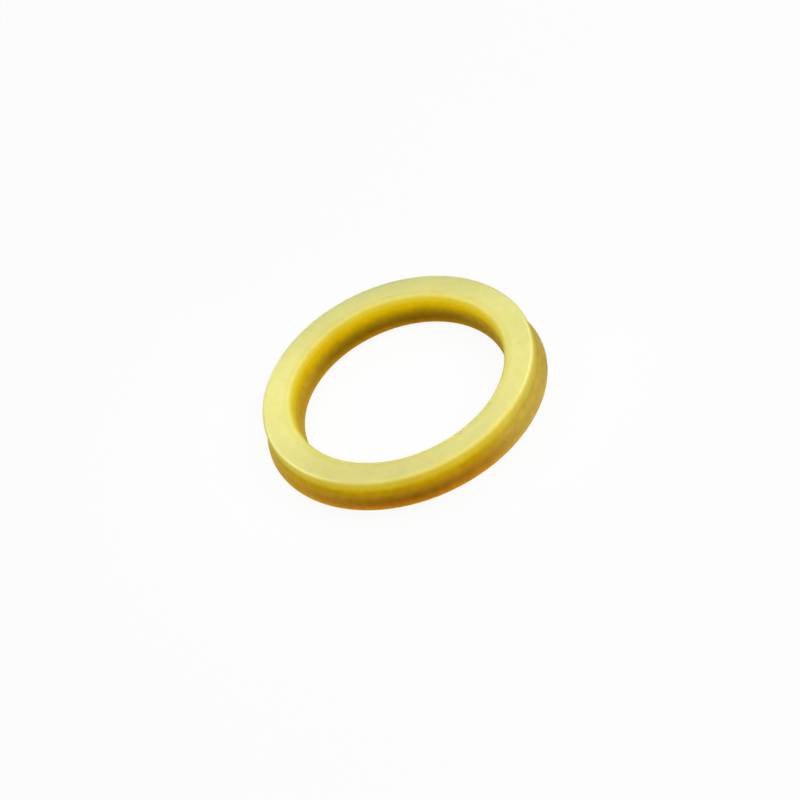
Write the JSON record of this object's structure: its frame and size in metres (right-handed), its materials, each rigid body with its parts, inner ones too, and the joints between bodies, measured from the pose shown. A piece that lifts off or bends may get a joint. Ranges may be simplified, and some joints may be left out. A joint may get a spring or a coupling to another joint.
{
  "type": "u cup seal",
  "caption": "Flat-backed ring seal with flared inner and outer lips and a U-shaped groove between them, which seals a rod or piston against fluid pressure.",
  "frame": {"origin": "on the seal's axis, at the height of the lip tips that it lies on", "axes": "+Z along the seal's axis, from the lip tips to the flat heel"},
  "size_m": [0.043, 0.043, 0.006],
  "materials": {
    "polyurethane": "satin"
  },
  "bodies": {
    "root": {"u_cup_seal": "polyurethane"}
  },
  "joints": []
}
